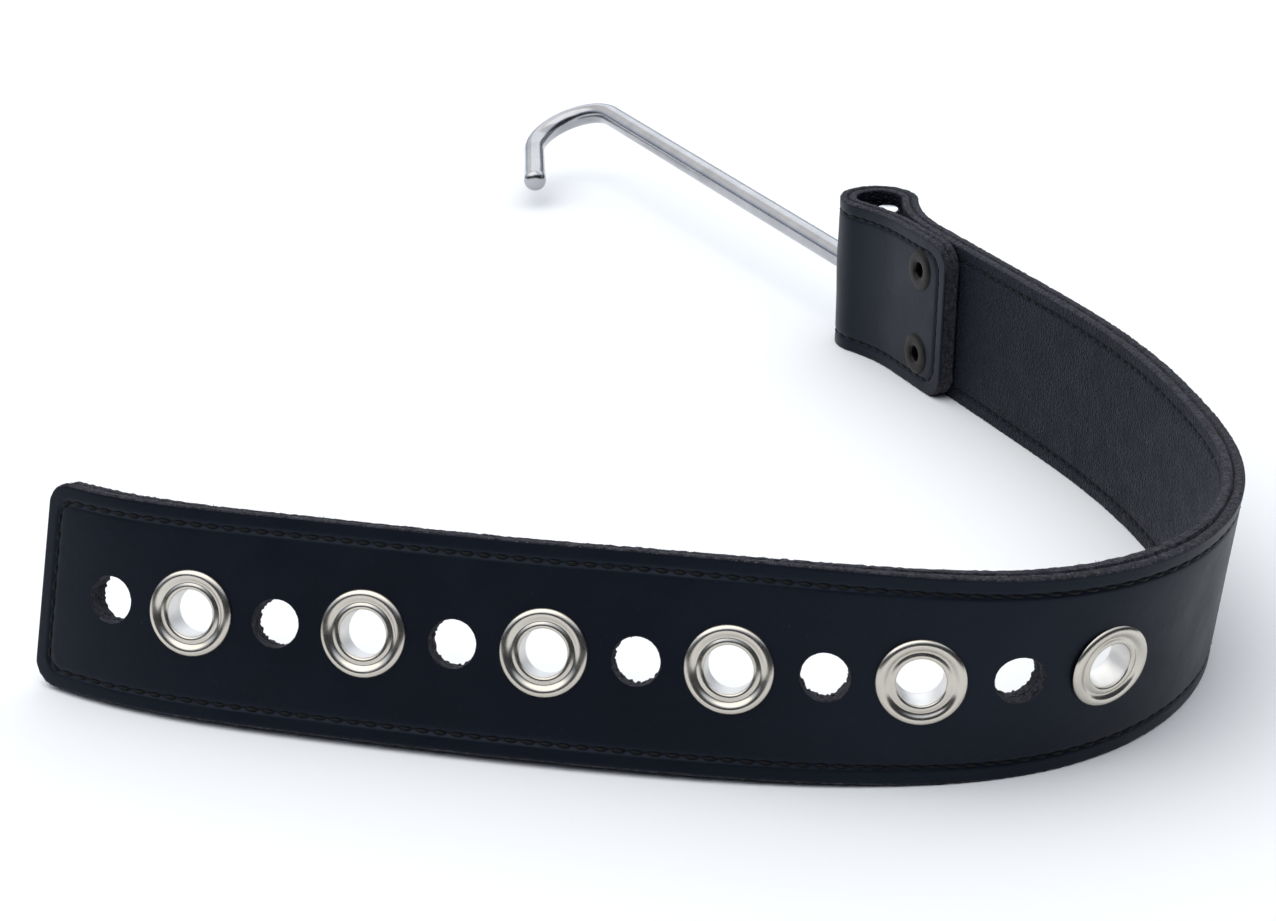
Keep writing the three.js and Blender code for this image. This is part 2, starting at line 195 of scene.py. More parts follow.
def strap_frame(along):
    """Foot of the strap, and its own directions: forwards, up the strap, and out of its outer face."""
    x, y, heading = course_at(along)
    lean = lean_at(along)
    inner = Vector((-math.sin(heading), math.cos(heading), 0))
    up = Vector((0, 0, math.cos(lean))) + inner * math.sin(lean)
    out = Vector((0, 0, math.sin(lean))) - inner * math.cos(lean)
    forward = Vector((math.cos(heading), math.sin(heading), 0))
    lift = STRAP_THICKNESS / 2 * abs(math.sin(lean))
    return Vector((x, y, lift)), forward, up, out


def on_strap(along, height, outwards):
    """A point of the flat strap on the bent strap, in metres."""
    foot, _, up, out = strap_frame(along)
    return (foot + up * height + out * outwards) * MM


def across(along, height):
    """The matrix that puts +Y of a turned piece squarely out of the strap at a place on it."""
    place = on_strap(along, height, 0)
    up = strap_frame(along)[2]
    forward = (on_strap(along + 0.5, height, 0) - place).normalized()
    out = forward.cross(up).normalized()
    turn = Matrix((up, out, up.cross(out))).transposed().to_4x4()
    return Matrix.Translation(place) @ turn


# ---- materials ----


class Nodes:
    """A node material, with short ways to add its nodes and links."""

    def __init__(self, name):
        self.material = bpy.data.materials.new(name)
        self.material.use_nodes = True
        self.tree = self.material.node_tree
        self.shader = self.tree.nodes["Principled BSDF"]
        self.place = self.add("ShaderNodeTexCoord").outputs["Object"]

    def add(self, kind, **settings):
        node = self.tree.nodes.new(kind)
        for key, value in settings.items():
            setattr(node, key, value)
        return node

    def link(self, source, target):
        self.tree.links.new(source, target)

    def noise(self, scale, detail=4.0, roughness=0.55):
        node = self.add("ShaderNodeTexNoise")
        node.inputs["Scale"].default_value = scale
        node.inputs["Detail"].default_value = detail
        node.inputs["Roughness"].default_value = roughness
        self.link(self.place, node.inputs["Vector"])
        return node.outputs["Fac"]

    def cells(self, scale):
        node = self.add("ShaderNodeTexVoronoi", feature="DISTANCE_TO_EDGE")
        node.inputs["Scale"].default_value = scale
        self.link(self.place, node.inputs["Vector"])
        return node.outputs["Distance"]

    def ramp(self, source, *stops):
        """Each stop is (position, colour or grey)."""
        node = self.add("ShaderNodeValToRGB")
        elements = node.color_ramp.elements
        while len(elements) < len(stops):
            elements.new(0.5)
        for element, (position, colour) in zip(elements, stops):
            element.position = position
            element.color = (*colour, 1) if isinstance(colour, tuple) else (colour, colour, colour, 1)
        self.link(source, node.inputs["Fac"])
        return node.outputs["Color"]

    def mix(self, share, a, b, blend="MIX"):
        node = self.add("ShaderNodeMix", data_type="RGBA", blend_type=blend)
        for socket, value in ((node.inputs[0], share), (node.inputs[6], a), (node.inputs[7], b)):
            if isinstance(value, bpy.types.NodeSocket):
                self.link(value, socket)
            else:
                socket.default_value = value if isinstance(value, (int, float)) else (*value, 1)
        return node.outputs[2]

    def sum(self, a, b, share):
        """a plus a share of b."""
        node = self.add("ShaderNodeMath", operation="MULTIPLY_ADD")
        self.link(b, node.inputs[0])
        node.inputs[1].default_value = share
        self.link(a, node.inputs[2])
        return node.outputs[0]

    def bump(self, height, strength, distance):
        node = self.add("ShaderNodeBump")
        node.inputs["Strength"].default_value = strength
        node.inputs["Distance"].default_value = distance
        self.link(height, node.inputs["Height"])
        self.link(node.outputs["Normal"], self.shader.inputs["Normal"])

    def set(self, **values):
        """Sets the shader's sockets, named with underscores for spaces, to constants or links."""
        for name, value in values.items():
            socket = self.shader.inputs[name.replace("_", " ")]
            if isinstance(value, bpy.types.NodeSocket):
                self.link(value, socket)
            else:
                socket.default_value = value if isinstance(value, (int, float)) else (*value, 1)


def smooth_leather():
    """Finished outer face: near black, satin, with faint creases and dust; the blue cast of its colour is
    painted bluish sheen.
    """
    n = Nodes("smooth_leather")
    patches = n.noise(28, 5)
    # the blue cast of these near-black colours is painted bluish sheen
    colour = n.ramp(patches, (0.3, (0.0030, 0.0038, 0.0070)), (0.7, (0.0050, 0.0062, 0.0112)))
    dust = n.ramp(n.noise(2600, 1), (0.74, 0.0), (0.8, 0.35))
    n.set(Base_Color=n.mix(dust, colour, (0.06, 0.062, 0.07)))
    n.set(Roughness=n.ramp(n.noise(90, 6), (0.3, 0.38), (0.75, 0.52)))
    n.set(Specular_IOR_Level=0.22, Specular_Tint=(0.62, 0.76, 1.0))
    pores = n.cells(1500)
    height = n.sum(n.noise(420, 6), pores, 0.35)
    n.bump(height, 0.28, 0.00018)
    return n.material


def pebbled_leather():
    """Lining face: slate grey with a fine pebble grain; its blue cast is partly the leather's own and partly
    painted bluish sheen.
    """
    n = Nodes("pebbled_leather")
    patches = n.noise(22, 5)
    # the blue cast of these slate greys is partly the leather's own, partly painted bluish sheen
    colour = n.ramp(patches, (0.3, (0.0105, 0.0125, 0.0205)), (0.72, (0.0155, 0.0185, 0.0300)))
    grain = n.cells(1150)
    n.set(Base_Color=n.mix(0.55, colour, n.ramp(grain, (0.0, 0.25), (0.35, 1.0)), "MULTIPLY"))
    n.set(Roughness=n.ramp(n.noise(160, 5), (0.3, 0.46), (0.7, 0.62)))
    n.set(Specular_IOR_Level=0.2, Specular_Tint=(0.7, 0.8, 1.0))
    height = n.sum(n.noise(900, 3), grain, 1.8)
    n.bump(height, 1.0, 0.0007)
    return n.material


def cut_edge(name, dark, light):
    """Raw cut edge of a ply: fibrous, with pale specks of dust."""
    n = Nodes(name)
    fibres = n.noise(900, 8, 0.7)
    colour = n.ramp(fibres, (0.4, dark), (0.64, light))
    specks = n.ramp(n.noise(2300, 2, 0.6), (0.64, 0.0), (0.7, 0.8))
    n.set(Base_Color=n.mix(specks, colour, (0.20, 0.205, 0.235)))
    n.set(Roughness=0.9, Specular_IOR_Level=0.15, Sheen_Weight=0.12, Sheen_Roughness=0.5)
    n.bump(n.sum(fibres, n.noise(2600, 4, 0.7), 0.5), 1.0, 0.001)
    return n.material


def waxed_thread():
    """Near-black thread with the faint relief of its twist."""
    n = Nodes("waxed_thread")
    twist = n.noise(3200, 3)
    n.set(Base_Color=n.ramp(twist, (0.3, (0.0015, 0.0015, 0.0025)), (0.75, (0.005, 0.0055, 0.0075))))
    n.set(Roughness=0.5, Specular_IOR_Level=0.18)
    n.bump(twist, 0.4, 0.0001)
    return n.material


def polished_metal(name, low, high, smoothest, roughest):
    """Plated metal with faint handling marks."""
    n = Nodes(name)
    n.set(Base_Color=n.ramp(n.noise(120, 5), (0.3, low), (0.7, high)), Metallic=1.0)
    n.set(Roughness=n.ramp(n.noise(500, 6, 0.65), (0.35, smoothest), (0.75, roughest)))
    n.bump(n.noise(380, 4), 0.04, 0.0001)
    return n.material


def black_metal():
    """Blackened metal, a little worn."""
    n = Nodes("black_metal")
    worn = n.noise(600, 6, 0.65)
    n.set(Base_Color=n.ramp(worn, (0.35, (0.007, 0.006, 0.006)), (0.75, (0.022, 0.019, 0.018))))
    n.set(Metallic=0.6, Roughness=n.ramp(worn, (0.3, 0.34), (0.8, 0.5)), Specular_IOR_Level=0.3)
    n.bump(worn, 0.1, 0.0001)
    return n.material


OUTER_FACE = smooth_leather()
LINING_FACE = pebbled_leather()
OUTER_EDGE = cut_edge("outer_cut_edge", (0.006, 0.0062, 0.010), (0.052, 0.052, 0.078))
LINING_EDGE = cut_edge("lining_cut_edge", (0.008, 0.0082, 0.013), (0.062, 0.062, 0.092))
THREAD = waxed_thread()
NICKEL = polished_metal("polished_nickel", (0.55, 0.515, 0.455), (0.63, 0.595, 0.53), 0.2, 0.28)
BARREL = polished_metal("dull_nickel", (0.80, 0.79, 0.77), (0.88, 0.87, 0.85), 0.5, 0.6)
STEEL = polished_metal("bright_steel", (0.36, 0.36, 0.375), (0.46, 0.46, 0.475), 0.16, 0.26)
PIN_STEEL = polished_metal("pin_steel", (0.78, 0.78, 0.8), (0.86, 0.86, 0.88), 0.2, 0.3)
BLACK_METAL = black_metal()


# ---- making pieces ----


def add_piece(name, mesh, materials, body, slot, *nodes):
    """A visible piece that rides a CAD body and stands for CAD nodes."""
    piece = bpy.data.objects.new(name, mesh)
    bpy.context.collection.objects.link(piece)
    for material in materials:
        mesh.materials.append(material)
    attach(piece, body)
    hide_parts(*nodes)


def mesh_of(name, points, faces, sharp=40.0):
    mesh = bpy.data.meshes.new(name)
    mesh.from_pydata([tuple(point) for point in points], [], faces)
    finish_mesh(mesh, sharp)
    return mesh


def finish_mesh(mesh, sharp):
    """Outward faces, smooth shading, sharp only where faces meet at more than an angle."""
    shape = bmesh.new()
    shape.from_mesh(mesh)
    bmesh.ops.recalc_face_normals(shape, faces=shape.faces)
    for face in shape.faces:
        face.smooth = True
    shape.to_mesh(mesh)
    shape.free()
    mesh.set_sharp_from_angle(angle=math.radians(sharp))


def smooth_profile(corners, steps=4):
    """A closed Catmull-Rom curve through corners of (radius, distance outwards)."""
    points = []
    count = len(corners)
    for i in range(count):
        p0, p1, p2, p3 = (Vector(corners[(i + k) % count]) for k in (-1, 0, 1, 2))
        for j in range(steps):
            t = j / steps
            points.append(
                0.5 * (2 * p1 + (p2 - p0) * t + (2 * p0 - 5 * p1 + 4 * p2 - p3) * t**2
                       + (3 * p1 - p0 - 3 * p2 + p3) * t**3)
            )
    return points


def turned(name, profile, place, sides=72):
    """A ring turned about +Y from a closed profile, put in place."""
    points, faces = [], []
    count = len(profile)
    for i in range(sides):
        angle = 2 * math.pi * i / sides
        for radius, outwards in profile:
            spot = Vector((radius * math.cos(angle), outwards, radius * math.sin(angle))) * MM
            points.append(place @ spot)
        for k in range(count):
            a, b = i * count + k, i * count + (k + 1) % count
            c = ((i + 1) % sides) * count
            faces.append((a, b, c + (k + 1) % count, c + k))
    return mesh_of(name, points, faces)


def dull_inside(mesh, place, radius, highest):
    """Gives the second material to the faces of a turned piece's bore."""
    back = place.inverted()
    for polygon in mesh.polygons:
        spot = (back @ polygon.center) / MM
        if math.hypot(spot.x, spot.z) < radius and spot.y < highest:
            polygon.material_index = 1


def tube(name, path, radii, sides=28):
    """A round bar through points in metres, with a flat cap on its first and last rings."""
    points, faces = [], []
    ahead = (path[1] - path[0]).normalized()
    side = ahead.cross(Vector((0, 0, 1)))
    if side.length < 1e-6:  # the bar starts straight up
        side = Vector((1, 0, 0))
    for i, (point, radius) in enumerate(zip(path, radii)):
        ahead = (path[min(i + 1, len(path) - 1)] - path[max(i - 1, 0)]).normalized()
        side = (side - ahead * side.dot(ahead)).normalized()
        third = ahead.cross(side)
        for k in range(sides):
            angle = 2 * math.pi * k / sides
            points.append(point + (side * math.cos(angle) + third * math.sin(angle)) * radius)
    for i in range(len(path) - 1):
        for k in range(sides):
            a, b = i * sides + k, i * sides + (k + 1) % sides
            faces.append((a, b, b + sides, a + sides))
    faces.append(tuple(range(sides)))
    faces.append(tuple(range(len(points) - sides, len(points))))
    return mesh_of(name, points, faces)


def domed(path, radius, dome):
    """The path and radii, in metres, of a bar whose ends are rounded over by dome millimetres."""
    steps = 4

    def end_ring(point, inwards, end_radius, step):
        angle = step / steps * math.pi / 2
        return point + inwards * dome * (1 - math.cos(angle)) * MM, end_radius - dome + dome * math.sin(angle)

    first = (path[1] - path[0]).normalized()
    last = (path[-2] - path[-1]).normalized()
    start = [end_ring(path[0], first, radius(0.0), step) for step in range(steps + 1)]
    finish = [end_ring(path[-1], last, radius(1.0), steps - step) for step in range(steps + 1)]
    count = len(path) - 1
    middle = [(path[i], radius(i / count)) for i in range(1, count)]
    rings = start + middle + finish
    return [point for point, _ in rings], [ring_radius * MM for _, ring_radius in rings]


# ---- leather plies ----

STITCH_CORNERS = {"free": FREE_END_CORNER - 2, "flap": FLAP_END_CORNER - 2}
COLUMNS_FROM_END = (
    0, 0.04, 0.12, 0.25, 0.45, 0.7, 1.0, 1.35, 1.7, 2.0, 2.3, 2.6, 2.85, 3.1, 3.35, 3.6, 3.9, 4.25, 4.7,
    5.2, 5.8, 6.5,
)
FIRST_EVEN_COLUMN = 7.2


def stitch_distance(along, height):
    """Distance from a place on the flat strap to the stitch line, a rectangle with rounded corners."""
    x0, x1 = STITCH_INSET, STRAP_LENGTH - STITCH_INSET
    y0, y1 = STITCH_INSET, STRAP_WIDTH - STITCH_INSET
    corner = STITCH_CORNERS["free"] if along < STRAP_LENGTH / 2 else STITCH_CORNERS["flap"]
    px = abs(along - (x0 + x1) / 2) - (x1 - x0) / 2 + corner
    py = abs(height - (y0 + y1) / 2) - (y1 - y0) / 2 + corner
    outside = math.hypot(max(px, 0), max(py, 0))
    return abs(outside + min(max(px, py), 0) - corner)


def edge_inset(along):
    """How far the rounded corners at both ends bring the strap's edges in."""
    def inset(from_end, radius):
        left = radius - min(from_end, radius)
        return radius - math.sqrt(max(radius * radius - left * left, 0))
    return max(inset(along, FREE_END_CORNER), inset(STRAP_LENGTH - along, FLAP_END_CORNER))


def columns():
    """Distances along the strap of the mesh's columns: close at both ends, a quarter stitch apart between."""
    places = []
    for base, sign in ((0.0, 1), (STRAP_LENGTH, -1)):
        for step in COLUMNS_FROM_END:
            places.append(base + sign * step)
    along = FIRST_EVEN_COLUMN
    while along < STRAP_LENGTH - 7.0:
        places.append(along)
        along += STITCH_PITCH / 4
    return sorted(places)


def face_rows():
    """Heights of the rows across a face, close together where the stitches run."""
    low = [0.35, 0.8, 1.3, 1.8, 2.2, 2.5, 2.75, 3.0, 3.2, 3.4, 3.65, 3.9, 4.2, 4.6, 5.2, 6.2]
    middle = [7.6 + 1.63 * i for i in range(15)]
    high = [STRAP_WIDTH - height for height in reversed(low)]
    return low + middle + high


def groove(along, height):
    """How far the stitches pull the face in."""
    distance = stitch_distance(along, height)
    pressed = GROOVE_DEPTH * math.exp(-((distance / GROOVE_WIDTH) ** 2))
    return pressed + HOLLOW_DEPTH * math.exp(-((distance / HOLLOW_WIDTH) ** 2))


def close_rings(shape, rings):
    """Walls between neighbouring rings of points, and a cap on the first and the last."""
    sides = len(rings[0])
    for a, b in zip(rings, rings[1:]):
        for k in range(sides):
            shape.faces.new((a[k], a[(k + 1) % sides], b[(k + 1) % sides], b[k]))
    shape.faces.new(rings[0])
    shape.faces.new(rings[-1])


def cutter(places, levels, sides=72):
    """Round cutters on the flat strap, each with a roughness; levels are (outwards, radius)."""
    shape = bmesh.new()
    for index, (along, height, rough) in enumerate(places):
        rings = []
        for outwards, radius in levels:
            ring = []
            for k in range(sides):
                angle = 2 * math.pi * k / sides
                wobble = noise.noise(Vector((math.cos(angle) * 9, math.sin(angle) * 9, outwards + index * 7)))
                r = radius * (1 + rough * wobble)
                spot = (along + r * math.cos(angle), height + r * math.sin(angle), outwards)
                ring.append(shape.verts.new(spot))
            rings.append(ring)
        close_rings(shape, rings)
    return shape


def add_slot(shape, sides=32):
    """The shank's slot, longer on the inside of the loop than on the outside."""
    rings = []
    for outwards in (-3.2, -2.0, 0.0, 2.0, 3.2):
        reach = SLOT_REACH - SLOT_TAPER * outwards - SLOT_RADIUS
        ring = []
        for k in range(sides):
            angle = 2 * math.pi * k / sides
            end = math.copysign(reach, math.cos(angle))
            along = HEAD_APEX + end + SLOT_RADIUS * math.cos(angle)
            ring.append(shape.verts.new((along, SHANK_HEIGHT + SLOT_RADIUS * math.sin(angle), outwards)))
        rings.append(ring)
    close_rings(shape, rings)


def ply_section(rows):
    """(height, outwards, whether it is on the face) round a ply's section, starting up the face."""
    inner = PLY_GAP / 2
    middle = (FACE + inner) / 2
    edge = [(-0.12, FACE - 0.1), (0.0, FACE - 0.4), (0.06, middle), (0.0, inner + 0.4), (-0.55, inner)]
    section = [(height, FACE, True) for height in rows]
    section += [(STRAP_WIDTH + beyond, outwards, False) for beyond, outwards in edge]
    section += [(STRAP_WIDTH * share, inner, False) for share in (0.8, 0.6, 0.4, 0.2)]
    section += [(-beyond, outwards, False) for beyond, outwards in reversed(edge)]
    return section


def flat_ply(name, side):
    """One ply on the flat strap, with rounded edges and the groove of its stitches."""
    rows = face_rows()
    section = ply_section(rows)
    middle = (FACE + PLY_GAP / 2) / 2
    inner_start, inner_end = len(rows) + 4, len(rows) + 9
    mesh = bpy.data.meshes.new(name)
    points, faces, kinds = [], [], []
    count = len(section)
    places = columns()
    for along in places:
        inset = edge_inset(along)
        squeeze = (STRAP_WIDTH - 2 * inset) / STRAP_WIDTH
        from_end = min(along, STRAP_LENGTH - along)
        left = END_ROUND - min(from_end, END_ROUND)
        end_round = END_ROUND - math.sqrt(max(END_ROUND**2 - left**2, 0))
        for height, outwards, on_face in section:
            flat_height = inset + height * squeeze
            depth = outwards
            if on_face:
                depth -= groove(along, flat_height) + end_round
            elif outwards > middle:
                depth -= end_round
            if not on_face and not 1 < height < STRAP_WIDTH - 1:
                spot = Vector((along * 1.3, height, depth * 2 + side * 9))
                flat_height += EDGE_RAGGED * noise.noise(spot)
                depth += EDGE_UNEVEN * noise.noise(spot * 1.7)
            points.append((along, flat_height, side * depth))
    for i in range(len(places) - 1):
        for k in range(count):
            a, b = i * count + k, i * count + (k + 1) % count
            faces.append((a, b, b + count, a + count))
            kinds.append(0 if k < len(rows) - 1 or inner_start <= k < inner_end else 1)
    for start in (0, len(points) - count):
        faces.append(tuple(range(start, start + count)))
        kinds.append(1)
    mesh.from_pydata(points, [], faces)
    for polygon, kind in zip(mesh.polygons, kinds):
        polygon.material_index = kind
    return mesh


def cut_ply(mesh, shape, materials):
    """The flat ply less its cutters, with the cut walls in the edge's material."""
    blank = bpy.data.objects.new("blank", mesh)
    tool_mesh = bpy.data.meshes.new("tool")
    bmesh.ops.recalc_face_normals(shape, faces=shape.faces)
    for wall in shape.faces:
        wall.material_index = 1
    shape.to_mesh(tool_mesh)
    shape.free()
    tool = bpy.data.objects.new("tool", tool_mesh)
    for thing in (blank, tool):
        bpy.context.collection.objects.link(thing)
        for material in materials:
            thing.data.materials.append(material)
    fixed = bmesh.new()
    fixed.from_mesh(mesh)
    bmesh.ops.recalc_face_normals(fixed, faces=fixed.faces)
    fixed.to_mesh(mesh)
    fixed.free()
    cut = blank.modifiers.new("cut", "BOOLEAN")
    cut.operation = "DIFFERENCE"
    cut.solver = "EXACT"
    cut.object = tool
    cut_blank = blank.evaluated_get(bpy.context.evaluated_depsgraph_get())
    done = bpy.data.meshes.new_from_object(cut_blank)
    for thing in (blank, tool):
        bpy.data.objects.remove(thing)
    kinds = [polygon.material_index for polygon in done.polygons]
    done.materials.clear()  # this also sets every face back to the first material
    done.polygons.foreach_set("material_index", kinds)
    return done


PLAIN_HOLES = [FIRST_HOLE + HOLE_PITCH * 2 * i for i in range(PAIRS)]
EYELETS = [FIRST_HOLE + HOLE_PITCH * (2 * i + 1) for i in range(PAIRS)]
RIVET_ON_FLAP = STRAP_LENGTH - RIVET_FROM_FLAP_END
NECK_TO_HEAD = (NECK_RADIUS + LOOP_RADIUS) * math.sin(ARM_NECK)
HEAD_TO_FLAP = (NECK_RADIUS + LOOP_RADIUS) * math.sin(FLAP_NECK)
RIVET_ON_ARM = ARM_LENGTH + NECK_TO_HEAD - HEAD_TO_FLAP - (FLAP_LENGTH - RIVET_FROM_FLAP_END)


def shank_bulge(along, height):
    """How far the shank, leaning on its slot, pushes out the head of the loop."""
    return BULGE_DEPTH * math.exp(-(((height - BULGE_HEIGHT) / 6.5) ** 2) - ((along - HEAD_APEX) / 7) ** 2)


def straight(radius):
    """A straight cutter's levels."""
    return [(-CUT_REACH, radius), (CUT_REACH, radius)]


def make_ply(name, side, materials):
    """One ply with all its holes, bent to the strap's course. Plain holes are most ragged in the lining."""
    middle = STRAP_WIDTH / 2
    r = PLAIN_HOLE_RADIUS
    flared = [(-CUT_REACH, r + 0.5), (-2.02, r + 0.16), (-1.7, r), (0, r - 0.04)]
    flared += [(1.7, r), (1.95, r + 0.18), (CUT_REACH, r + 0.5)]
    rough = 0.13 if side < 0 else 0.012
    rivet_columns = (RIVET_ON_FLAP, RIVET_ON_ARM)
    rivet_places = [(along, height) for along in rivet_columns for height in RIVET_HEIGHTS.values()]
    shape = cutter([(along, middle, rough) for along in PLAIN_HOLES], flared)
    eyelets = cutter([(along, middle, 0.0) for along in EYELETS], straight(EYELET_HOLE_RADIUS))
    rivets = cutter([(along, height, 0.0) for along, height in rivet_places], straight(RIVET_HOLE_RADIUS))
    add_slot(shape)
    for more in (eyelets, rivets):
        extra = bpy.data.meshes.new("extra")
        more.to_mesh(extra)
        more.free()
        shape.from_mesh(extra)
    mesh = cut_ply(flat_ply(name, side), shape, materials)
    for vertex in mesh.vertices:
        along, height, outwards = vertex.co
        outwards += shank_bulge(along, height)
        vertex.co = on_strap(min(max(along, 0), STRAP_LENGTH), height, outwards)
    finish_mesh(mesh, 38)
    mesh.name = name
    return mesh


# ---- stitches ----


def stitch_path():
    """The stitch line's stretches: each one's length, and a function from a distance along it to
    (along, height, travel angle) on the flat strap."""
    x0, x1 = STITCH_INSET, STRAP_LENGTH - STITCH_INSET
    y0, y1 = STITCH_INSET, STRAP_WIDTH - STITCH_INSET
    free, flap = STITCH_CORNERS["free"], STITCH_CORNERS["flap"]
    pieces = [
        ("line", (x0 + free, y0), (x1 - flap, y0)),
        ("arc", (x1 - flap, y0 + flap), flap, -90),
        ("line", (x1, y0 + flap), (x1, y1 - flap)),
        ("arc", (x1 - flap, y1 - flap), flap, 0),
        ("line", (x1 - flap, y1), (x0 + free, y1)),
        ("arc", (x0 + free, y1 - free), free, 90),
        ("line", (x0, y1 - free), (x0, y0 + free)),
        ("arc", (x0 + free, y0 + free), free, 180),
    ]
    route = []
    for piece in pieces:
        if piece[0] == "line":
            _, start, end = piece
            length = math.dist(start, end)
            travel = math.atan2(end[1] - start[1], end[0] - start[0])

            def spot(distance, start=start, travel=travel):
                x = start[0] + math.cos(travel) * distance
                return x, start[1] + math.sin(travel) * distance, travel
        else:
            _, centre, radius, begin = piece
            length = radius * math.pi / 2

            def spot(distance, centre=centre, radius=radius, begin=begin):
                angle = math.radians(begin) + distance / radius
                x = centre[0] + radius * math.cos(angle)
                return x, centre[1] + radius * math.sin(angle), angle + math.pi / 2

        route.append((length, spot))
    return route


def along_route(route, distance):
    """(along, height, travel angle) at a distance round the stitch line."""
    for length, spot in route:
        if distance <= length:
            return spot(distance)
        distance -= length
    return route[0][1](distance)


def make_stitches(name, side):
    """Each stitch is a short bar that dips into the leather at both ends."""
    route = stitch_path()
    total = sum(length for length, _ in route)
    count = round(total / STITCH_PITCH)
    pitch = total / count
    chance = random.Random(11 + side)
    points, faces = [], []
    sides = 8
    shares = (0.09, 0.17, 0.32, 0.5, 0.68, 0.83, 0.91)
    dips = (1.0, 0.62, 0.36, 0.27, 0.36, 0.62, 1.0)
    for i in range(count):
        slant = chance.uniform(0.04, 0.12)
        thick = THREAD_RADIUS * chance.uniform(0.93, 1.04)
        base = len(points)
        for share, dip in zip(shares, dips):
            along, height, travel = along_route(route, (i + share) * pitch % total)
            offset = (share - 0.5) * 2 * slant
            along += math.sin(travel) * offset
            height -= math.cos(travel) * offset
            for k in range(sides):
                angle = 2 * math.pi * k / sides
                sideways = math.cos(angle) * thick
                outwards = FACE - dip + math.sin(angle) * thick
                there = along + math.sin(travel) * sideways
                points.append(on_strap(there, height - math.cos(travel) * sideways, side * outwards))
        for ring in range(len(shares) - 1):
            for k in range(sides):
                a = base + ring * sides + k
                b = base + ring * sides + (k + 1) % sides
                faces.append((a, b, b + sides, a + sides))
        faces.append(tuple(range(base, base + sides)))
        faces.append(tuple(range(len(points) - sides, len(points))))
    return mesh_of(name, points, faces, 80)


# ---- loose fibres on the cut edges ----


def make_fibres(name, side):
    """Short tapered hairs that stand out of a ply's cut edges."""
    chance = random.Random(31 + side)
    points, faces = [], []
    for _ in range(FIBRE_COUNT):
        along = chance.uniform(1, STRAP_LENGTH - 1)
        sign = 1 if chance.random() < 0.7 else -1
        edge = STRAP_WIDTH - edge_inset(along) if sign > 0 else edge_inset(along)
        outwards = side * chance.uniform(0.1, FACE - 0.15)
        length = chance.uniform(0.15, 0.5) if sign > 0 else chance.uniform(0.05, 0.12)
        lean, swing = chance.uniform(-0.5, 0.5), chance.uniform(-0.35, 0.35)
        base = len(points)
        for k in range(3):
            angle = 2 * math.pi * k / 3
            sideways, deep = FIBRE_RADIUS * math.cos(angle), FIBRE_RADIUS * math.sin(angle)
            points.append(on_strap(along + sideways, edge - sign * FIBRE_ROOT, outwards + deep))
        tip_outwards = min(max(outwards + swing * length, -FACE), FACE)
        points.append(on_strap(along + lean * length, edge + sign * length, tip_outwards))
        faces += [(base, base + 1, base + 3), (base + 1, base + 2, base + 3), (base + 2, base, base + 3)]
        faces.append((base, base + 2, base + 1))
    return mesh_of(name, points, faces)


# ---- the strap's pieces ----

leather = {
    "outer_leather": (1, [OUTER_FACE, OUTER_EDGE]),
    "lining_leather": (-1, [LINING_FACE, LINING_EDGE]),
}
for node, (side, materials) in leather.items():
    add_piece(f"{node}_ply", make_ply(node, side, materials), materials, "strap", node, node)
for node, side, edge in (("outer_leather", 1, OUTER_EDGE), ("lining_leather", -1, LINING_EDGE)):
    add_piece(f"{node}_fibres", make_fibres(f"{node}_fibres", side), [edge], "strap", node)
for node, side in (("needle_thread", 1), ("bobbin_thread", -1)):
    add_piece(f"{node}_stitches", make_stitches(node, side), [THREAD], "strap", "thread", node)

# profiles of turned pieces: (radius, outwards from the middle of the strap)
EYELET_PROFILE = smooth_profile([
    (4.2, -2.9), (4.2, -1.0), (4.2, 1.2), (4.22, 1.9), (4.36, 2.22), (4.65, 2.36), (4.95, 2.36), (5.25, 2.26),
    (5.55, 2.17), (5.9, 2.32), (6.35, 2.62), (6.85, 2.74), (7.3, 2.62), (7.65, 2.36), (7.82, 2.0), (7.6, 1.86),
    (6.5, 1.87), (5.2, 1.85), (4.5, 1.7), (4.42, 0.0), (4.42, -2.2), (4.75, -2.42), (5.5, -2.42), (5.75, -2.62),
    (5.5, -2.92), (4.7, -3.02),
])
WASHER_PROFILE = smooth_profile([
    (4.55, -1.9), (6.0, -1.9), (7.35, -1.85), (7.55, -2.05), (7.35, -2.3), (6.2, -2.4), (4.9, -2.38),
    (4.5, -2.2),
])
for i, along in enumerate(EYELETS, 1):
    place = across(along, STRAP_WIDTH / 2)
    eyelet = turned(f"eyelet_{i}", EYELET_PROFILE, place)
    dull_inside(eyelet, place, 4.35, 2.0)
    add_piece(f"eyelet_{i}_ring", eyelet, [NICKEL, BARREL], "strap", "nickel", f"eyelet_{i}")
    washer = turned(f"eyelet_washer_{i}", WASHER_PROFILE, place)
    add_piece(f"eyelet_washer_{i}_ring", washer, [NICKEL], "strap", "nickel", f"eyelet_washer_{i}")

ARM_BACK = -FLAP_OFFSET - FACE  # the back of the arm, as far from the flap's middle
RIVET_PROFILE = smooth_profile([
    (1.7, ARM_BACK - 0.6), (1.7, -2.0), (1.7, 1.4), (1.85, 2.1), (2.3, 2.42), (3.2, 2.52), (4.2, 2.45),
    (4.8, 2.22), (4.95, 1.95), (4.5, 1.85), (3.0, 1.88), (2.2, 1.7), (2.2, -2.0), (2.2, ARM_BACK - 0.5),
    (2.5, ARM_BACK - 0.75), (3.1, ARM_BACK - 0.8), (3.2, ARM_BACK - 1.1), (2.4, ARM_BACK - 1.25),
    (1.8, ARM_BACK - 1.0),
])
CAP_PROFILE = smooth_profile([
    (2.4, ARM_BACK), (4.4, ARM_BACK), (4.95, ARM_BACK - 0.15), (4.8, ARM_BACK - 0.5), (4.0, ARM_BACK - 0.72),
    (2.5, ARM_BACK - 0.74),
])
